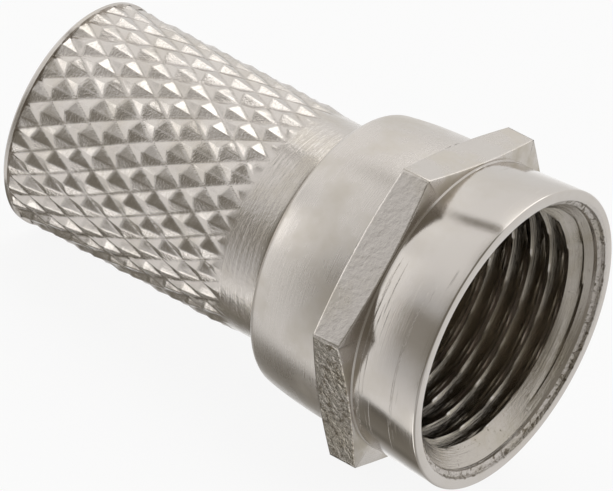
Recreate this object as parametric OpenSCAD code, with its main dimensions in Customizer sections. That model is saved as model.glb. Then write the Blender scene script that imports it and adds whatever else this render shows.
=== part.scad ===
// Twist-on coaxial cable connector: a hexagon coupling nut that spins on a knurled barrel.
// A flanged sleeve pressed into the barrel's neck keeps the nut on.
// Every piece is drawn about the Z axis, with the nut's mouth at z = 0 and the cable end
// below it. laid_down() then lays the connector on its side, where it comes to rest on
// a flat of the nut and on the rim of the barrel.

/* [Coupling nut] */
// Minor diameter of the nut's thread
thread_minor_d = 8.66; // [8.5:0.02:8.8]
// Depth of the countersink at the mouth, cut at 45 degrees
mouth_sink_depth = 0.92; // [0.6:0.02:1]
// Radial depth of the undercut behind the thread
undercut_depth = 0.52; // [0.45:0.01:0.6]
// Length of the undercut behind the thread
undercut_len = 1.35; // [1.3:0.05:1.6]
// Wall between the undercut and the collar next to the hexagon
collar_wall = 0.55; // [0.5:0.01:0.8]
// Radial flare of the nut from the hexagon to the mouth
mouth_flare = 0.18; // [0.1:0.02:0.3]
// Radius of the edge of the mouth
mouth_edge_r = 0.08; // [0.04:0.02:0.12]
// Length of the nut from its mouth to its back face
nut_len = 7.5; // [7.2:0.1:8.4]
// Distance from the mouth to the front face of the hexagon
hex_setback = 2.8; // [2.2:0.1:3.2]
// Length of the hexagon along the axis
hex_len = 1.4; // [1:0.1:1.8]
// Height of the hexagon's flats above the collar
hex_proud = 0.1; // [0.06:0.01:0.3]
// Depth of the turned chamfer on the hexagon's corners
hex_chamfer = 0.16; // [0.08:0.02:0.3]
// Radius of the crown of the tapering skirt behind the hexagon
skirt_crown_r = 16.5; // [14:0.5:30]
// Radius of the skirt's back edge
skirt_edge_r = 0.4; // [0.2:0.05:0.5]
// Thickness of the lip at the back of the nut
lip_t = 1; // [0.8:0.05:1.2]

/* [Barrel] */
// Length of the connector from the nut's mouth to the cable end
connector_len = 18.9; // [18.2:0.1:22]
// Bore for the cable's jacket
jacket_bore_d = 6.4; // [6.2:0.05:6.6]
// Depth of the bore for the cable's jacket
jacket_depth = 9; // [8:0.1:9.6]
// Depth of the countersink at the cable end, cut at 45 degrees
jacket_sink_depth = 0.5; // [0.3:0.02:0.6]
// Wall between the jacket's bore and the bottom of the knurl
barrel_wall = 0.87; // [0.8:0.01:0.92]
// Depth of the knurl's grooves below its points
knurl_depth = 0.13; // [0.1:0.01:0.2]
// Number of grooves of each hand round the barrel
knurl_starts = 27; // [20:1:32]
// Angle of the grooves to the axis
knurl_angle = 30; // [25:1:38]
// Radial drop from the points of the knurl to the smooth band
band_drop = 0.1; // [0.05:0.01:0.15]
// Straight length of the smooth band
band_len = 0.25; // [0.1:0.05:0.35]
// Radius of the shoulder in front of the band
shoulder_r = 1.5; // [1.35:0.05:1.6]
// Radial height of the rim at the cable end above the points of the knurl
rim_proud = 0.03; // [0.02:0.01:0.1]
// Length of the rim at the cable end
rim_len = 0.25; // [0.22:0.01:0.4]
// Chamfer on the rim's outer edge
rim_chamfer = 0.12; // [0.05:0.01:0.18]

/* [Sleeve] */
// Bore for the cable's inner insulation
sleeve_bore_d = 4.7; // [4.4:0.05:4.9]
// Thickness of the sleeve's wall
sleeve_wall = 0.6; // [0.5:0.02:0.65]
// Length of the sleeve behind its flange
shank_len = 2.9; // [2:0.1:3]
// Thickness of the sleeve's flange
flange_t = 0.9; // [0.7:0.05:1]
// Wall of the barrel's neck round the sleeve
neck_wall = 0.5; // [0.4:0.02:0.55]

/* [Fits] */
// Radial clearance between the neck and the lip of the nut
neck_clear = 0.05; // [0.03:0.01:0.08]
// End play between the lip of the nut and the flange
end_play = 0.12; // [0.08:0.02:0.2]
// Radial clearance between the flange and the thread it is fitted through
flange_clear = 0.18; // [0.1:0.02:0.25]
// Gap between the back face of the nut and the foot of the barrel's shoulder
back_gap = 0.46; // [0.3:0.02:0.7]

/* [Hidden] */
$fn = 96;

nickel = [0.77, 0.74, 0.70];
polished_nickel = [0.80, 0.78, 0.74];
dull_nickel = [0.68, 0.65, 0.60];

// Length by which a cutting solid passes the face that it starts from
cut_past = 0.1;
// Straight pieces in each rounded edge and crown
arc_steps = 8;

// The nut, from the inside out and from its mouth back
undercut_d = thread_minor_d + 2 * undercut_depth;
collar_r = undercut_d / 2 + collar_wall;
mouth_r = collar_r + mouth_flare;
hex_r = collar_r + hex_proud;
hex_back = hex_setback + hex_len;
lip_front = nut_len - lip_t;
undercut_front = lip_front - undercut_len;

// The sleeve and the neck round it
flange_back = lip_front - end_play;
flange_front = flange_back - flange_t;
flange_d = thread_minor_d - 2 * flange_clear;
shank_back = flange_back + shank_len;
shank_d = sleeve_bore_d + 2 * sleeve_wall;
neck_r = shank_d / 2 + neck_wall;

// The barrel, from the inside out and from its neck back
root_r = jacket_bore_d / 2 + barrel_wall;
point_r = root_r + knurl_depth;
rim_r = point_r + rim_proud;
band_r = point_r - band_drop;
// Angle through which the shoulder turns before it meets the neck
shoulder_turn = acos((neck_r - band_r + shoulder_r) / shoulder_r);
shoulder_top = nut_len + back_gap + shoulder_r * sin(shoulder_turn);
knurl_front = shoulder_top + band_len;
knurl_back = connector_len - rim_len / 2;

// The knurl's rows: each ring of corners is half a diamond from the next
corners = 2 * knurl_starts;
row_pitch = 2 * PI * point_r / corners / tan(knurl_angle);
rows = round((knurl_back - knurl_front) / row_pitch);
// The points stop this share of a row short of the band, and the grooves run out there
runout_share = 0.15;
row_step = (knurl_back - knurl_front) / (rows + runout_share);
// Height of the knurl's last edge above the band, raised by the rolling
runout_proud = 0.02;

// The connector touches what it lies on with the back edge of a flat and with its rim
rest_reach = connector_len - rim_chamfer - hex_back;
tilt = atan((hex_r - rim_r) / rest_reach);
rest_height = hex_back * sin(tilt) + hex_r * cos(tilt);
mouth_reach = (mouth_r - mouth_edge_r) * sin(tilt) + mouth_edge_r * (1 - cos(tilt));
cable_reach = connector_len * cos(tilt) + (rim_r - rim_chamfer) * sin(tilt);

// Points along an arc in the plane of a profile, from angle a0 to angle a1
function arc(centre, r, a0, a1) =
    [for (i = [0:arc_steps])
        let (a = a0 + (a1 - a0) * i / arc_steps)
        centre + r * [cos(a), sin(a)]];

// One ring of the knurl: points and groove crossings take turns round the barrel
function knurl_ring(row) =
    [for (i = [0:corners - 1])
        let (a = i * 360 / corners,
             r = (i + row) % 2 == 0 ? root_r : point_r)
        [r * cos(a), r * sin(a), row * row_step - knurl_back]];

function runout_ring() =
    [for (i = [0:corners - 1])
        let (a = i * 360 / corners, r = band_r + runout_proud)
        [r * cos(a), r * sin(a), -knurl_front]];

// The two triangles between a pair of neighbouring corners and the pair above them,
// split along the groove that crosses between them
function knurl_facets(row, i) =
    let (j = (i + 1) % corners,
         a = row * corners + i, b = row * corners + j,
         c = a + corners, d = b + corners)
    (i + row) % 2 == 0 ? [[a, d, b], [a, c, d]] : [[a, c, b], [b, c, d]];

// Lays a piece drawn about Z on its side, where the whole connector comes to rest
module laid_down() {
    translate([(cable_reach - mouth_reach) / 2, 0, rest_height])
        rotate([0, 90 - tilt, 0])
            children();
}

// A round hole from one depth behind the mouth to another
module hole(d, from, to) {
    translate([0, 0, -to])
        cylinder(d = d, h = to - from);
}

// A 45 degree countersink cut down from z = 0 into a hole
module countersink(d, depth) {
    translate([0, 0, -depth])
        cylinder(d1 = d, d2 = d + 2 * (depth + cut_past), h = depth + cut_past);
}

// The solid of the diamond knurl, closed by a flat face at each end
module knurl() {
    last = (rows + 1) * corners;
    polyhedron(
        points = concat(
            [for (row = [0:rows]) each knurl_ring(row)],
            runout_ring()),
        faces = concat(
            [[for (i = [0:corners - 1]) i]],
            [for (row = [0:rows], i = [0:corners - 1]) each knurl_facets(row, i)],
            [[for (i = [corners - 1:-1:0]) last + i]]),
        convexity = 4);
}

// The smooth band, the shoulder and the neck of the barrel
module neck_profile() {
    polygon(concat(
        [[0, -knurl_front - rim_len], [band_r, -knurl_front - rim_len]],
        arc([band_r - shoulder_r, -shoulder_top], shoulder_r, 0, shoulder_turn),
        [[neck_r, -flange_back], [0, -flange_back]]));
}

module rim_profile() {
    polygon([
        [0, -connector_len],
        [rim_r - rim_chamfer, -connector_len],
        [rim_r, rim_chamfer - connector_len],
        [rim_r, rim_len - connector_len],
        [0, rim_len - connector_len]]);
}

module knurled_barrel() {
    color(nickel) laid_down() difference() {
        union() {
            knurl();
            rotate_extrude() rim_profile();
            rotate_extrude() neck_profile();
        }
        hole(jacket_bore_d, connector_len - jacket_depth, connector_len + cut_past);
        hole(shank_d, flange_back - cut_past, connector_len);
        translate([0, 0, -connector_len])
            mirror([0, 0, 1])
                countersink(jacket_bore_d, jacket_sink_depth);
    }
}

// The ring that the nut pulls against, on a shank pressed into the barrel's neck
module contact_sleeve() {
    color(dull_nickel) laid_down() difference() {
        union() {
            hole(flange_d, flange_front, flange_back);
            hole(shank_d, flange_front, shank_back);
        }
        hole(sleeve_bore_d, flange_front - cut_past, shank_back + cut_past);
    }
}

// The outside of the nut as it is turned: flared mouth, collars and crowned skirt
module nut_profile() {
    crown_to_edge = skirt_crown_r - skirt_edge_r;
    // Angle at which the crown of the skirt runs into its rounded back edge
    meet = asin((nut_len - hex_back - skirt_edge_r) / crown_to_edge);
    crown_centre = [collar_r - skirt_crown_r, -hex_back];
    polygon(concat(
        [[0, -nut_len]],
        arc(crown_centre + crown_to_edge * [cos(meet), -sin(meet)],
            skirt_edge_r, -90, -meet),
        arc(crown_centre, skirt_crown_r, -meet, 0),
        [[collar_r, -hex_setback]],
        arc([mouth_r - mouth_edge_r, -mouth_edge_r], mouth_edge_r, 0, 90),
        [[0, 0]]));
}

// The hexagon, with its corners chamfered on both faces
module spanner_hexagon() {
    corner_r = hex_r / cos(30);
    intersection() {
        translate([0, 0, -hex_back])
            rotate(30)
                cylinder(r = corner_r, h = hex_len, $fn = 6);
        rotate_extrude() polygon([
            [0, -hex_back],
            [hex_r, -hex_back],
            [corner_r, hex_chamfer - hex_back],
            [corner_r + cut_past, hex_chamfer - hex_back],
            [corner_r + cut_past, -hex_setback - hex_chamfer],
            [corner_r, -hex_setback - hex_chamfer],
            [hex_r, -hex_setback],
            [0, -hex_setback]]);
    }
}

module coupling_nut() {
    color(polished_nickel) laid_down() difference() {
        union() {
            rotate_extrude() nut_profile();
            spanner_hexagon();
        }
        hole(thread_minor_d, -cut_past, lip_front);
        hole(undercut_d, undercut_front, lip_front);
        hole(2 * (neck_r + neck_clear), lip_front - cut_past, nut_len + cut_past);
        countersink(thread_minor_d, mouth_sink_depth);
    }
}

knurled_barrel();
contact_sleeve();
coupling_nut();
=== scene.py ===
# %% [markdown]
# # A coaxial F connector
# The connector is 19 mm long: a turned and plated coupling nut with a hexagon, and
# behind it a knurled barrel that is pushed over the cable. All of it is bare nickel, so
# the lesson is about two things: crisp turned shapes, and what they mirror.

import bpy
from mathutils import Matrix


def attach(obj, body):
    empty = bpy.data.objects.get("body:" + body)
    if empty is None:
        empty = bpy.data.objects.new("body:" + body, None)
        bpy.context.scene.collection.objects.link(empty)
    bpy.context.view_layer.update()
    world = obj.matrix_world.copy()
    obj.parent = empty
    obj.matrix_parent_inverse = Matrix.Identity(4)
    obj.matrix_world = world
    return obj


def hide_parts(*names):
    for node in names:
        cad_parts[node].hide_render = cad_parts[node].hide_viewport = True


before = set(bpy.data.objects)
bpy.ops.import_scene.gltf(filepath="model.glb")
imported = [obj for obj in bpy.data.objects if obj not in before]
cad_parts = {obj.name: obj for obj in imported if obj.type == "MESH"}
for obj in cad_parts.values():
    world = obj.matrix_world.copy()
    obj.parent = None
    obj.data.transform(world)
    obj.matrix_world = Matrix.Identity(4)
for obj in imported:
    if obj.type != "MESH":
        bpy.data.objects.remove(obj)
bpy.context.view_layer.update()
print("nodes:", sorted(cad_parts))

# %% [markdown]
# Blender works in metres, and a connector is drawn in millimetres. Every piece is
# therefore modelled in millimetres about the upright Z axis, with the nut's mouth at
# height 0 and the cable end below it, and is scaled and laid on its side at the end.
# The connector rests on the hexagon's back edge and on the rim of the barrel, so its
# nose points up a little.

# %% Lay a finished piece down
import math

import bpy
from mathutils import Matrix, Vector, noise

MM = 0.001
MOUTH_X, AXIS_HEIGHT, NOSE_UP = 9.353891, 5.843716, math.radians(4.978219)
LAID_DOWN = (
    Matrix.Scale(MM, 4)
    @ Matrix.Translation((MOUTH_X, 0, AXIS_HEIGHT))
    @ Matrix.Rotation(math.pi / 2 - NOSE_UP, 4, "Y")
)


def lay_down(piece):
    piece.data.transform(LAID_DOWN)
    piece.data.update()


print("mouth centre in metres:", LAID_DOWN @ Vector((0, 0, 0)))

# %% [markdown]
# The camera stands to the right of the nut and above it, far away, as for a product
# picture taken with a long lens, and it leans a little.

# %% Place the camera
eye_data = bpy.data.cameras.new("eye")
eye_data.lens, eye_data.sensor_width = 477.87, 36
eye_data.clip_start, eye_data.clip_end = 0.01, 20
eye = bpy.data.objects.new("eye", eye_data)
bpy.context.scene.collection.objects.link(eye)
eye.location = Vector((116.067, -219.405, 131.533)) * MM
aim = Vector((1.0866, -0.7810, 5.0624)) * MM
lean = Matrix.Rotation(math.radians(19.072), 4, "Z")
eye.rotation_euler = (
    (aim - eye.location).to_track_quat("-Z", "Y").to_matrix().to_4x4() @ lean
).to_euler()
bpy.context.scene.camera = eye
print("camera distance in mm:", round((aim - eye.location).length / MM, 1))

# %% [markdown]
# A turned piece is a half outline spun round its axis. The outline starts as one point,
# and extruding that point again and again draws it, as a lathe operator would list the
# corners of a profile. Spin then turns it all the way round.

# %% Draw an outline and spin it
def deselect_all():
    if bpy.context.object and bpy.context.object.mode == "EDIT":
        bpy.ops.object.mode_set(mode="OBJECT")
    bpy.ops.object.select_all(action="DESELECT")


def turn_on_lathe(name, outline, steps):
    """Spins an outline of (radius, height) corners, closed from its last to its first."""
    deselect_all()
    bpy.ops.mesh.primitive_plane_add(size=1, location=(0, 0, 0))
    piece = bpy.context.object
    piece.name = piece.data.name = name
    bpy.ops.object.mode_set(mode="EDIT")
    bpy.ops.mesh.select_mode(type="VERT")
    bpy.ops.mesh.select_all(action="SELECT")
    bpy.ops.mesh.merge(type="CENTER")
    r, z = outline[0]
    bpy.ops.transform.translate(value=(r, 0, z))
    for next_r, next_z in outline[1:] + outline[:1]:
        bpy.ops.mesh.extrude_region_move(
            TRANSFORM_OT_translate={"value": (next_r - r, 0, next_z - z)}
        )
        r, z = next_r, next_z
    bpy.ops.mesh.select_all(action="SELECT")
    bpy.ops.mesh.remove_doubles(threshold=0.0005)
    bpy.ops.mesh.spin(
        steps=steps, angle=2 * math.pi, center=(0, 0, 0), axis=(0, 0, 1)
    )
    bpy.ops.mesh.select_all(action="SELECT")
    bpy.ops.mesh.remove_doubles(threshold=0.0005)
    bpy.ops.mesh.normals_make_consistent(inside=False)
    bpy.ops.object.mode_set(mode="OBJECT")
    print(name, "faces:", len(piece.data.polygons))
    return piece


def arc(centre_r, centre_z, radius, start, end, pieces=6):
    """Corners of an arc in an outline, its angles in degrees from straight outwards."""
    turns = [math.radians(start + (end - start) * i / pieces) for i in range(pieces + 1)]
    return [
        (centre_r + radius * math.cos(t), centre_z + radius * math.sin(t)) for t in turns
    ]


def rows_of(radius, start, end, count):
    """Evenly spaced corners along a straight, so that the wall has rows to shape."""
    return [(radius, start + (end - start) * i / count) for i in range(count + 1)]

# %% [markdown]
# ## The coupling nut
# The nut is turned from a bar: a mouth that flares a little, a hexagon for the spanner
# and a skirt that tapers in a gentle curve. Inside are a 45 degree countersink, the
# thread, the undercut behind it and the lip that hangs on the sleeve. The hexagon starts
# as a round flange, chamfered on both faces, because the bowed edges of a real hexagon
# only come from cutting flats on such a flange.

# %% Turn the blank of the nut
MOUTH_R, MINOR_R, MAJOR_R, PITCH = 5.58, 4.33, 4.7625, 0.79375
HEX_FRONT, HEX_BACK, FLAT_R, FLANGE_R = -2.8, -4.2, 5.5, 6.33

crown_r, edge_r = 16.5, 0.4
crown_meet = math.degrees(math.asin((7.5 - 4.2 - edge_r) / (crown_r - edge_r)))
crown_centre = (5.4 - crown_r, HEX_BACK)
edge_centre = (
    crown_centre[0] + (crown_r - edge_r) * math.cos(math.radians(crown_meet)),
    -7.5 + edge_r,
)
nut_outline = (
    [(5.2, 0)]
    + arc(MOUTH_R - 0.08, -0.08, 0.08, 90, 2, 5)
    + [(5.5, -1.3), (5.414, -2.62), (5.4, -2.68), (5.4, -2.74), (5.44, HEX_FRONT)]
    + [(5.5, HEX_FRONT), (FLANGE_R, HEX_FRONT - 0.16)]
    + [(FLANGE_R, HEX_BACK + 0.16), (5.5, HEX_BACK), (5.43, HEX_BACK), (5.4, -4.23)]
    + arc(*crown_centre, crown_r, -0.5, -crown_meet, 9)
    + arc(*edge_centre, edge_r, -crown_meet - 8, -90, 6)
    + [(3.55, -7.5), (3.5, -7.45), (3.5, -6.53), (3.53, -6.5), (4.85, -6.5)]
    + rows_of(4.85, -6.42, -5.2, 2)
    + rows_of(MINOR_R, -5.15, -0.94, 84)
    + [(MINOR_R + 0.02 + 0.0575 * i, -0.9 + 0.0575 * i) for i in range(11)]
    + [(4.97, -0.2), (5.05, -0.15), (5.13, -0.13), (5.15, -0.07), (5.17, -0.012)]
)
nut = turn_on_lathe("nut_turned", nut_outline, 240)

# %% [markdown]
# The six flats are cut with Bisect. It works on what is selected, so only the flange is
# selected, and the half outside the flat is cleared and the cut filled. The bowed edges
# are then rounded a little, and a narrow inset frames each flat, so that smooth shading
# bends only that frame and the flat itself stays flat.

# %% Mill the six flats
import bmesh


def select_faces(piece, wanted):
    """Selects the faces that wanted(centre, normal, radius) says, in edit mode."""
    deselect_all()
    bpy.context.view_layer.objects.active = piece
    piece.select_set(True)
    bpy.ops.object.mode_set(mode="EDIT")
    bpy.ops.mesh.select_mode(type="FACE")
    bpy.ops.mesh.select_all(action="DESELECT")
    mesh = bmesh.from_edit_mesh(piece.data)
    found = 0
    for face in mesh.faces:
        at = face.calc_center_median()
        if wanted(at, face.normal, math.hypot(at.x, at.y)):
            face.select_set(True)
            found += 1
    bmesh.update_edit_mesh(piece.data)
    return found


def on_flange(at, normal, radius):
    return radius > 5.46 and HEX_BACK - 0.001 < at.z < HEX_FRONT + 0.001


FLAT_TURNS = [math.radians(180 + 60 * k) for k in range(6)]
for turn in FLAT_TURNS:
    facing = Vector((math.cos(turn), math.sin(turn), 0))
    select_faces(nut, on_flange)
    bpy.ops.mesh.bisect(
        plane_co=facing * FLAT_R,
        plane_no=facing,
        use_fill=True,
        clear_outer=True,
        threshold=0.0005,
    )
select_faces(nut, lambda at, n, r: False)
bpy.ops.mesh.select_mode(type="EDGE")
mesh = bmesh.from_edit_mesh(nut.data)
rounded = 0
for e in mesh.edges:
    if len(e.link_faces) == 2 and sum(len(f.verts) > 20 for f in e.link_faces) == 1:
        e.select_set(True)
        rounded += 1
bmesh.update_edit_mesh(nut.data)
bpy.ops.mesh.bevel(offset=0.035, segments=2, affect="EDGES", clamp_overlap=False)
select_faces(
    nut,
    lambda at, n, r: abs(n.z) < 0.01 and abs(r - FLAT_R) < 0.05 and on_flange(at, n, r),
)
bpy.ops.mesh.inset(thickness=0.04)
bpy.ops.object.mode_set(mode="OBJECT")
print("flats:", sum(len(p.vertices) > 20 for p in nut.data.polygons), "edges rounded:", rounded)

# %% [markdown]
# The thread is an F connector's own: 32 turns to the inch. The bore has about 16 rows of
# corners for each turn of it, and every corner is pushed out to the wall that a
# threading tool leaves at its angle and height. The countersink wins where it is wider.

# %% Cut the thread
THREAD_BACK, THREAD_FRONT, COUNTERSINK_R = -5.16, -0.3, 5.26


def groove_depth(turns):
    """Depth of the 60 degree thread groove, with turns counted along the bore."""
    off = abs(turns % 1 - 0.5) * PITCH
    slope = (MAJOR_R - MINOR_R) / (PITCH * (3 / 8 - 1 / 16))
    return max(0, min(MAJOR_R - MINOR_R, (PITCH * 3 / 8 - off) * slope))


for v in nut.data.vertices:
    r, z = math.hypot(v.co.x, v.co.y), v.co.z
    if r < COUNTERSINK_R + 0.002 and THREAD_BACK < z < THREAD_FRONT:
        turns = z / PITCH + math.atan2(v.co.y, v.co.x) / (2 * math.pi)
        k = max(MINOR_R + groove_depth(turns), COUNTERSINK_R + z) / r
        v.co.x, v.co.y = v.co.x * k, v.co.y * k
print("turns of thread:", round(5.15 / PITCH, 1))

# %% [markdown]
# ## The knurled barrel
# The barrel is what the fingers grip: a diamond knurl of 27 grooves of each hand, then a
# plain band and a small rounded shoulder. The knurl is shallow, 0.13 mm, so its diamonds are low
# pyramids. A bump texture would leave the rim and the outline smooth, so the diamonds are
# real shape. The blank is spun with rows and columns that fall exactly on the corners,
# the points and the edges of the diamonds, nine steps to each half diamond.

# %% Measure the knurl
STARTS, FINE = 27, 9
KNURL_R, KNURL_DEPTH, BAND_R = 4.2, 0.13, 4.1
HALF_TURN, HALF_LEN = math.pi / STARTS, 0.847
KNURL_FRONT, KNURL_BACK = -9.446, -18.66
CORNER_TURN, CORNER_Z = math.radians(51.9), -12.757
TWIST = 0.04
ROW = HALF_LEN / FINE
first_row = math.floor((KNURL_FRONT - CORNER_Z) / ROW)
last_row = math.ceil((KNURL_BACK - CORNER_Z) / ROW)
knurl_rows = [CORNER_Z + ROW * i for i in range(first_row, last_row - 1, -1)]
knurl_rows = [z for z in knurl_rows if KNURL_BACK + 0.02 < z < KNURL_FRONT - 0.02]
print("rows of corners under the knurl:", len(knurl_rows))

# %% Turn the blank of the barrel
barrel_outline = (
    [(2.95, -6.38), (3.41, -6.38), (3.45, -6.42), (3.45, -7.6), (3.48, -7.63)]
    + arc(BAND_R - 0.35, -7.98, 0.35, 90, 0, 7)
    + rows_of(BAND_R, -8.1, -9.4, 6)
    + [(KNURL_R, KNURL_FRONT)]
    + [(KNURL_R, z) for z in knurl_rows]
    + [(KNURL_R, KNURL_BACK), (4.225, -18.68), (4.225, -18.8), (4.13, -18.9)]
    + [(3.75, -18.9), (3.2, -18.35)]
    + rows_of(3.2, -18.3, -9.98, 70)
    + [(3.15, -9.9), (2.95, -9.9)]
)
barrel = turn_on_lathe("barrel_turned", barrel_outline, 2 * FINE * STARTS)

# %% [markdown]
# Two counts tell where a corner of the mesh lies among the diamonds: how many grooves of
# the first hand, and of the second hand, it has passed. Halfway between two grooves of
# both hands is a point. The points of a pressed knurl are pushed aside by the tool, so the
# middle of each diamond is drawn aside with its whole row, which keeps every edge straight.

# %% Split the faces along the grooves
def from_up(x, y):
    """Angle round the axis from the top towards the camera's side."""
    return math.atan2(-y, -x)


def passed(x, y, z):
    """Grooves of the first and of the second hand passed at a place on the barrel."""
    s = (from_up(x, y) - CORNER_TURN) / HALF_TURN
    w = (z - CORNER_Z) / HALF_LEN
    return (s + w) / 2, (s - w) / 2


def in_knurl(at, radius):
    return radius > 4.15 and KNURL_BACK < at.z < KNURL_FRONT


for hand, way in ((0, "FIXED"), (1, "FIXED_ALTERNATE")):
    found = select_faces(
        barrel,
        lambda at, n, r: in_knurl(at, r) and abs((passed(*at)[hand] + 0.5) % 1 - 0.5) < 0.01,
    )
    bpy.ops.mesh.quads_convert_to_tris(quad_method=way, ngon_method="BEAUTY")
    print("faces in the grooves of hand", hand + 1, ":", found)


def faces_down_nose(at, normal, radius):
    """The facet of each diamond that faces down on the camera's side, towards the nut."""
    p, q = (count % 1 - 0.5 for count in passed(*at))
    return in_knurl(at, radius) and p > abs(q)


# %% Shape one corner of the knurl
POINT_P, POINT_Q = 0.43, 0.60
RUN_OUT, FRONT_FADE, BACK_FADE = 0.6, 0.12, 0.06


def drawn(count, point):
    """The count of a corner once the middle of its diamond is drawn aside."""
    whole = math.floor(count + 1e-6)
    part = count - whole
    if part < 0.5:
        return whole + 2 * point * part
    return whole + point + (1 - point) * (2 * part - 1)


def below_point(p, q):
    """Share of the depth at a place among the diamonds, 0 at a point and 1 in a groove."""
    p, q = p - math.floor(p + 1e-6), q - math.floor(q + 1e-6)
    return 2 * max(abs(p - 0.5), abs(q - 0.5))


def press_knurl(v, groove):
    """Moves a corner to its place in the knurl and notes how much painted shade it gets, from its depth in
    a groove and from a crease line.
    """
    x, y, z = v.co
    if math.hypot(x, y) < 4.15 or not KNURL_BACK - 0.001 < z < KNURL_FRONT + 0.001:
        turn = TWIST * (z - CORNER_Z) / HALF_LEN * HALF_TURN
        v.co = Matrix.Rotation(turn, 3, "Z") @ v.co
        return
    p, q = passed(x, y, z)
    inside = min(1, (KNURL_FRONT - z) / FRONT_FADE, (z - KNURL_BACK) / BACK_FADE)
    grain = noise.noise((p * 2.3, q * 2.3, 7)) * 0.012 + noise.noise((p * 9, q * 9, 3)) * 0.005
    drop = KNURL_DEPTH * below_point(p, q) + grain * inside
    if z > KNURL_FRONT - RUN_OUT:
        drop += (KNURL_R - BAND_R - drop) * ((z - KNURL_FRONT + RUN_OUT) / RUN_OUT) ** 3
    wide_p, wide_q = drawn(p, POINT_P), drawn(q, POINT_Q)
    wide_p, wide_q = p + (wide_p - p) * inside, q + (wide_q - q) * inside
    s, w = wide_p + wide_q, wide_p - wide_q
    turn = CORNER_TURN + (s + TWIST * w) * HALF_TURN
    r = KNURL_R - drop
    off_p, off_q = p % 1 - 0.5, q % 1 - 0.5
    # Painted shade: a dark line runs down one edge of the facet that faces the nut, strongest near the
    # point.
    crease_shade = 1 - 1.4 * off_p if off_p > 0.02 and abs(off_p + off_q) < 0.01 else 0
    groove.data[v.index].value = max(below_point(p, q) ** 2, crease_shade)
    v.co = (-r * math.cos(turn), -r * math.sin(turn), CORNER_Z + w * HALF_LEN)


print("depth of the knurl in mm:", KNURL_DEPTH, "over", round(KNURL_FRONT - KNURL_BACK, 1))

# %% [markdown]
# ## The sleeve
# The flanged sleeve is a plain turned piece with broken edges. Its flange holds the nut,
# and its shank is pressed into the barrel's neck.

# %% Turn the sleeve
sleeve = turn_on_lathe(
    "sleeve_turned",
    [(2.4, -5.48), (4.11, -5.48), (4.15, -5.52), (4.15, -6.34), (4.11, -6.38)]
    + [(2.97, -6.38), (2.95, -6.4), (2.95, -9.2), (2.87, -9.28), (2.4, -9.28)]
    + [(2.35, -9.23), (2.35, -5.53)],
    128,
)

# %% [markdown]
# ## The nickel
# Everything is plated with nickel, a warm grey metal, but no two faces have the same skin.
# The colour hardly changes: what tells the faces apart is how the tool left them, so each
# finish below is the same metal with its own roughness and its own marks. The patterns
# are measured from the connector's own axis, in millimetres, because turning marks run
# round it.

# %% A helper that adds nodes
def add(tree, kind, **inputs):
    """Adds a node, fills its inputs by name or as i0, i1, and links the sockets given."""
    made = tree.nodes.new("ShaderNode" + kind)
    for place, value in inputs.items():
        if place[1:].isdigit() and place[0] == "i":
            place = int(place[1:])
        if isinstance(value, bpy.types.NodeSocket):
            tree.links.new(value, made.inputs[place])
        else:
            made.inputs[place].default_value = value
    return made


def maths(tree, operation, *values):
    made = add(tree, "Math", **{f"i{i}": v for i, v in enumerate(values)})
    made.operation = operation
    return made.outputs[0]


def step_between(tree, value, low, high):
    """0 where the value is under low, 1 where it is over high, and smooth between."""
    made = add(tree, "MapRange", Value=value)
    made.interpolation_type = "SMOOTHSTEP"
    made.inputs["From Min"].default_value = low
    made.inputs["From Max"].default_value = high
    return made.outputs["Result"]


def mixed(tree, under, over, share):
    made = tree.nodes.new("ShaderNodeMix")
    made.data_type = "RGBA"
    for place, value in ((0, share), (6, under), (7, over)):
        if isinstance(value, bpy.types.NodeSocket):
            tree.links.new(value, made.inputs[place])
        else:
            made.inputs[place].default_value = value if place == 0 else (*value, 1)
    return made.outputs[2]


# %% Measure from the connector's own axis
def own_axes(tree):
    """Place in mm as sockets: along the axis from the mouth, y, up, and the radius."""
    to_mouth = Matrix.Rotation(NOSE_UP, 3, "Y") @ Vector((MOUTH_X, 0, AXIS_HEIGHT))
    place = add(
        tree,
        "Mapping",
        Vector=add(tree, "TexCoord").outputs["Object"],
        Location=-to_mouth,
        Rotation=(0, NOSE_UP, 0),
        Scale=(1 / MM, 1 / MM, 1 / MM),
    ).outputs[0]
    parts = add(tree, "SeparateXYZ", Vector=place).outputs
    flat = add(tree, "CombineXYZ", Y=parts["Y"], Z=parts["Z"]).outputs[0]
    radius = add(tree, "VectorMath", i0=flat)
    radius.operation = "LENGTH"
    return place, parts["X"], radius.outputs["Value"], flat


def turning_marks(tree, per_mm, drift=0.5):
    """Noise in rings round the axis, as a turning tool leaves it."""
    _, along, radius, flat = own_axes(tree)
    parts = add(tree, "SeparateXYZ", Vector=flat).outputs
    rings = add(
        tree,
        "CombineXYZ",
        X=maths(tree, "MULTIPLY", maths(tree, "ADD", along, radius), per_mm),
        Y=maths(tree, "MULTIPLY", parts["Y"], drift),
        Z=maths(tree, "MULTIPLY", parts["Z"], drift),
    ).outputs[0]
    return add(tree, "TexNoise", Vector=rings, Scale=1, Detail=5, Roughness=0.65).outputs[0]


# %% [markdown]
# One recipe makes all the finishes. It stacks three patterns: rings left by turning, an
# even grain left by casting, tumbling or plating, and pits where the metal is dull. The
# rings and the grain both raise the surface and change how sharply it mirrors. Painted
# shade darkens the grooves of the knurl, and scores are long scratches round the axis.

# %% The recipe for a nickel finish
# The darkest colour serves both the dull pits and the painted shade in the knurl's grooves.
NICKEL, TARNISH, DULL_AND_SHADE = (0.61, 0.57, 0.53), (0.46, 0.41, 0.31), (0.13, 0.10, 0.06)


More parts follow.
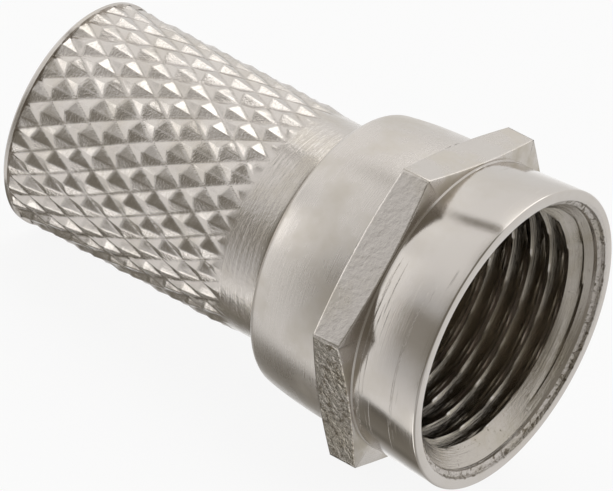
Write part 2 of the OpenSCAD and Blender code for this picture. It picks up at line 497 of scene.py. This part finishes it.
def nickel(name, rough=0.18, spread=0.1, rings=(30, 1.5), grain=(6, 1.0), tarnish=0.25,
           pits=(0, 5), colour=NICKEL, groove_shade=0.0, scores=0.0):
    """Rings and grain are (patterns per mm, height in micrometres), and pits are (share,
    patterns per mm). Spread is how much the rings change the roughness, the groove share is
    how much painted shade darkens the knurl's grooves, and scores is a depth in micrometres."""
    finish = bpy.data.materials.new(name)
    finish.use_nodes = True
    tree = finish.node_tree
    shader = tree.nodes["Principled BSDF"]
    shader.inputs["Metallic"].default_value = 1
    place = own_axes(tree)[0]
    ringed = turning_marks(tree, rings[0])
    grained = add(
        tree, "TexNoise", Vector=place, Scale=grain[0], Detail=6, Roughness=0.6
    ).outputs[0]
    clouds = add(tree, "TexNoise", Vector=place, Scale=0.55, Detail=4, Roughness=0.6).outputs[0]
    cloudy = maths(tree, "MULTIPLY", step_between(tree, clouds, 0.42, 0.68), tarnish)
    metal = mixed(tree, colour, TARNISH, cloudy)
    if pits[0]:
        pitted = add(
            tree, "TexNoise", Vector=place, Scale=pits[1], Detail=5, Roughness=0.7
        ).outputs[0]
        edge = 0.75 - 0.45 * pits[0]
        dull = step_between(tree, pitted, edge, edge + 0.07)
        metal = mixed(tree, metal, DULL_AND_SHADE, maths(tree, "MULTIPLY", dull, 0.75))
    # Painted shade: the knurl's grooves and its crease line are darkened in patches.
    if groove_shade:
        shaded_groove = add(tree, "Attribute")
        shaded_groove.attribute_name = "groove"
        shaded_groove = step_between(tree, shaded_groove.outputs["Fac"], 0.62, 1.1)
        shaded_groove = maths(tree, "MULTIPLY", shaded_groove, step_between(tree, clouds, 0.3, 0.6))
        metal = mixed(tree, metal, DULL_AND_SHADE, maths(tree, "MULTIPLY", shaded_groove, groove_shade))
    tree.links.new(metal, shader.inputs["Base Color"])
    unevenness = maths(tree, "MULTIPLY_ADD", ringed, spread, rough - spread / 2)
    unevenness = maths(tree, "MULTIPLY_ADD", cloudy, 0.35, unevenness)
    tree.links.new(unevenness, shader.inputs["Roughness"])
    raised = add(tree, "Bump", Height=ringed, Distance=rings[1] * 1e-6, Strength=1.0)
    raised = add(
        tree, "Bump", Height=grained, Distance=grain[1] * 1e-6, Strength=1.0,
        Normal=raised.outputs[0],
    )
    if scores:
        scored = step_between(tree, turning_marks(tree, 7, 0.12), 0.62, 0.66)
        raised = add(
            tree, "Bump", Height=scored, Distance=-scores * 1e-6, Strength=1.0,
            Normal=raised.outputs[0],
        )
    tree.links.new(raised.outputs[0], shader.inputs["Normal"])
    return finish


def finish_faces(piece, finish, wanted):
    """Gives a finish to the faces that wanted(centre, normal, radius) says."""
    piece.data.materials.append(finish)
    found = select_faces(piece, wanted)
    piece.active_material_index = len(piece.data.materials) - 1
    bpy.ops.object.material_slot_assign()
    bpy.ops.object.mode_set(mode="OBJECT")
    print(finish.name, "on", found, "faces of", piece.name)


# %% [markdown]
# The mouth of the nut is polished and mirrors sharply, with faint scratches round it. The
# skirt is brushed. The hexagon's front and back were faced on the lathe, so their rings
# show, and its flats still have the skin of the drawn bar under the plating: one is
# hammered, one has an orange-peel skin, one is smooth.

# %% Finish the nut
nut.data.materials.append(nickel("nut_polished", 0.12, 0.1, (26, 1.2), (5, 1.2), 0.15, scores=6.0))
finish_faces(
    nut, nickel("nut_brushed", 0.27, 0.16, (34, 3.0), (9, 1.5), 0.3),
    lambda at, n, r: at.z < HEX_BACK and r > 4.9,
)
finish_faces(
    nut, nickel("nut_faced", 0.24, 0.16, (14, 7.0), (8, 2.0), 0.6),
    lambda at, n, r: abs(n.z) > 0.7 and HEX_BACK - 0.01 < at.z < HEX_FRONT + 0.01 and r > 5.3,
)
# Painted shade: the inside of the nut gets a darker colour than the plain nickel, and only the thread
# crests keep the plain colour.
finish_faces(
    nut, nickel("nut_inside", 0.12, 0.1, (13, 16.0), (10, 2.0), 0.3, (0.2, 7), (0.50, 0.46, 0.40)),
    lambda at, n, r: r < 4.9 and -7.45 < at.z < -0.4,
)
finish_faces(
    nut, nickel("thread_crest", 0.12, 0.1, (14, 5.0), (8, 1.5), 0.15),
    lambda at, n, r: r < MINOR_R + 0.02 and -5.2 < at.z < -0.9,
)
finish_faces(
    nut, nickel("mouth_burr", 0.08, 0.1, (9, 20.0), (10, 45.0), 0.4, (0.5, 5)),
    lambda at, n, r: 4.93 < r < 5.195 and -0.26 < at.z < -0.004,
)
finish_faces(
    nut,
    nickel("nut_countersink", 0.14, 0.14, (11, 22.0), (12, 9.0), 0.4, (0.3, 8), (0.54, 0.50, 0.45)),
    lambda at, n, r: 4.3 < r < 4.93 and -0.95 < at.z < -0.25 and n.z > 0.45,
)


def on_flat(*turns):
    """Says whether a face belongs to one of the flats at these turns from the top."""
    return lambda at, n, r: (
        abs(n.z) < 0.5
        and HEX_BACK < at.z < HEX_FRONT
        and r > 5.42
        and min(abs((math.degrees(from_up(at.x, at.y)) - t + 180) % 360 - 180) for t in turns) < 30
    )


finish_faces(nut, nickel("flat_smooth", 0.24, 0.1, (2, 1), (7, 3.5), 0.35), on_flat(0, -120))
finish_faces(nut, nickel("flat_orange_peel", 0.2, 0.08, (2, 1), (4.5, 15.0), 0.3), on_flat(60, -60))
finish_faces(
    nut,
    nickel("flat_hammered", 0.08, 0.08, (3, 1), (5, 42.0), 0.3, (0.5, 4), (0.42, 0.39, 0.35)),
    on_flat(120, 180),
)

# %% [markdown]
# On the barrel, the pressing tool smeared three facets of each diamond smooth and tore the
# fourth, which faces the nut. Torn metal mirrors in sparks, and a stronger painted shade
# makes its grooves and crease browner.

# %% Finish the barrel and the sleeve
# The last share of each knurl finish darkens its grooves with painted shade: lightly on the smooth facets,
# strongly on the torn ones.
barrel.data.materials.append(nickel("knurl_smooth", 0.18, 0.06, (6, 0.5), (9, 5.5), 0.2, groove_shade=0.12))
finish_faces(
    barrel, nickel("knurl_torn", 0.15, 0.1, (8, 1.0), (13, 17.0), 0.15, (0.2, 11), NICKEL, 0.6),
    faces_down_nose,
)
finish_faces(
    barrel, nickel("barrel_band", 0.3, 0.14, (24, 4.0), (8, 5.0), 0.3, (0.1, 5)),
    lambda at, n, r: r > 3.3 and at.z > KNURL_FRONT,
)
finish_faces(
    barrel, nickel("band_smeared", 0.16, 0.1, (9, 11.0), (7, 9.0), 0.3, (0.1, 6)),
    lambda at, n, r: r > 3.9 and KNURL_FRONT < at.z < -7.8,
)
finish_faces(
    barrel, nickel("barrel_bore", 0.3, 0.2, (18, 8.0), (9, 4.0), 0.6, (0.25, 5)),
    lambda at, n, r: r < 3.3,
)
sleeve.data.materials.append(nickel("sleeve_turned", 0.22, 0.12, (24, 4.0), (8, 2.0), 0.3))

# %% [markdown]
# The knurl is pressed last. Until now the barrel was a plain cylinder, which made its
# faces easy to pick by place, and an attribute keeps how deep in a groove each corner
# lies, and where the crease line runs, for the painted shade.

# %% Press the knurl
groove = barrel.data.attributes.new("groove", "FLOAT", "POINT")
for v in barrel.data.vertices:
    press_knurl(v, groove)
print("diamonds round the barrel:", STARTS)

# %% [markdown]
# Each piece is laid down, shaded smooth except over sharp edges, and rides on its body:
# the nut turns, the barrel and the sleeve stay.

# %% Lay the pieces down and fix them to the frame
for piece, body, node, slot in (
    (nut, "nut", "coupling_nut", "nut_nickel"),
    (barrel, "connector_body", "knurled_barrel", "barrel_nickel"),
    (sleeve, "connector_body", "contact_sleeve", "sleeve_nickel"),
):
    lay_down(piece)
    deselect_all()
    bpy.context.view_layer.objects.active = piece
    piece.select_set(True)
    bpy.ops.object.shade_smooth_by_angle(angle=math.radians(28))
    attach(piece, body)
    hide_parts(node)
    print(piece.name, "triangles:", sum(len(p.vertices) - 2 for p in piece.data.polygons))

# %% [markdown]
# ## The studio
# The floor is white paper that keeps a soft shadow. It glows for the camera only, so it
# reads as white without lighting the metal from below.

# %% Lay the floor
deselect_all()
bpy.ops.mesh.primitive_plane_add(size=3, location=(0, 0, 0))
floor = bpy.context.object
floor.name = "studio_floor"
paper = bpy.data.materials.new("white_paper")
paper.use_nodes = True
nodes, links = paper.node_tree.nodes, paper.node_tree.links
nodes.clear()
out = nodes.new("ShaderNodeOutputMaterial")
mix = nodes.new("ShaderNodeMixShader")
dull = nodes.new("ShaderNodeBsdfDiffuse")
dull.inputs["Color"].default_value = (0.8, 0.8, 0.8, 1)
glow = nodes.new("ShaderNodeEmission")
glow.inputs["Strength"].default_value = 1
path = nodes.new("ShaderNodeLightPath")
share = nodes.new("ShaderNodeMath")
share.operation = "MULTIPLY"
share.inputs[1].default_value = 0.9
links.new(path.outputs["Is Camera Ray"], share.inputs[0])
links.new(share.outputs[0], mix.inputs["Fac"])
links.new(dull.outputs[0], mix.inputs[1])
links.new(glow.outputs[0], mix.inputs[2])
links.new(mix.outputs[0], out.inputs["Surface"])
floor.data.materials.append(paper)
floor.visible_glossy = False
print("floor:", floor.name)

# %% [markdown]
# Bare nickel shows little but what it mirrors, so the air is the real lamp. It is built of
# hoops round the connector's own axis. Each hoop has its soft boxes and its dark gaps, and
# how far a mirrored ray leans along the axis chooses the hoop: a plain cylinder mirrors
# the middle one, and a slope mirrors one nearer the nose or further back. The dark gaps
# are a warm brown. The camera itself sees plain white.

# %% Hang the hoops of air
world = bpy.data.worlds.new("white_air")
bpy.context.scene.world = world
world.use_nodes = True
air = world.node_tree
BRIGHTEST = 4.0
lying = add(
    air, "Mapping", Vector=add(air, "TexCoord").outputs["Generated"], Rotation=(0, NOSE_UP, 0)
).outputs[0]
parts = add(air, "SeparateXYZ", Vector=lying).outputs
around = maths(air, "ARCTAN2", maths(air, "MULTIPLY", parts["Y"], -1.0), parts["Z"])
share_round = maths(air, "MULTIPLY_ADD", around, 1 / (2 * math.pi), 0.5)
lean = maths(air, "MULTIPLY", maths(air, "ARCSINE", parts["X"]), 180 / math.pi)


def hoop(stops):
    """Light of a hoop of air round the axis, from (degrees from the top, level) pairs."""
    ramp = add(air, "ValToRGB", Fac=share_round)
    points = ramp.color_ramp.elements
    while len(points) < len(stops):
        points.new(0.5)
    for point, (turn, level) in zip(points, stops):
        warm = min(1, max(0, (0.6 - level) / 0.5))
        point.position = (turn + 180) / 360
        level /= BRIGHTEST
        point.color = (level, level * (1 - 0.09 * warm), level * (1 - 0.25 * warm), 1)
    return ramp.outputs[0]


middle = hoop([
    (-180, 0.20), (-170, 0.24), (-162, 0.15), (-152, 0.40), (-142, 0.6), (-132, 1.1), (-100, 1.0),
    (-82, 0.85), (-42, 0.94), (-8, 1.0), (-5, 0.3), (-1, 0.3), (3, 1.0), (38, 0.94), (48, 0.87), (68, 0.6),
    (78, 0.33), (98, 0.36), (118, 0.6), (138, 0.84), (162, 1.0), (166, 0.11), (178, 0.21),
])
nearer = hoop([
    (-180, 0.3), (-150, 0.5), (-120, 0.9), (-66, 0.95), (-54, 1.0), (-46, 2.7), (-6, 2.7),
    (0, 1.0), (5, 0.3), (24, 0.25), (34, 0.6), (45, 0.5), (60, 0.28), (90, 0.2), (118, 0.24),
    (132, 0.6), (142, 1.0), (148, 2.2), (172, 2.2), (180, 0.4),
])
nose = hoop([
    (-180, 0.4), (-150, 0.6), (-120, 0.85), (-60, 0.9), (-8, 0.85), (2, 0.25), (50, 0.25), (80, 0.2),
    (110, 0.25), (140, 0.6), (180, 0.4),
])
further = hoop([
    (-180, 0.3), (-150, 0.5), (-120, 0.9), (-40, 1.1), (14, 1.1), (26, 1.0), (36, 0.95), (44, 1.1),
    (100, 1.05), (150, 0.95), (170, 0.8), (180, 0.4),
])
furthest = hoop([
    (-180, 0.3), (-150, 0.5), (-120, 0.9), (-40, 1.05), (14, 1.05), (26, 0.9), (33, 0.6),
    (38, 0.6), (46, 1.0), (54, 1.9), (80, 1.9), (90, 1.0), (150, 0.95), (170, 0.8), (180, 0.4),
])
# %% Choose the hoop by the lean
sight = mixed(air, middle, nearer, step_between(air, lean, -21, -16))
sight = mixed(air, sight, nose, step_between(air, lean, -6, 4))
back = maths(air, "MULTIPLY", lean, -1.0)
sight = mixed(air, sight, further, step_between(air, back, 33, 40))
sight = mixed(air, sight, furthest, step_between(air, back, 47, 49))
sight = mixed(air, sight, further, step_between(air, back, 60, 72))
camera_ray = add(air, "LightPath").outputs["Is Camera Ray"]
sight = mixed(air, sight, (1 / BRIGHTEST, 1 / BRIGHTEST, 1 / BRIGHTEST), camera_ray)
background = air.nodes["Background"]
air.links.new(sight, background.inputs["Color"])
background.inputs["Strength"].default_value = BRIGHTEST
print("nodes in the air:", len(air.nodes))
bpy.context.scene.view_settings.view_transform = "Standard"
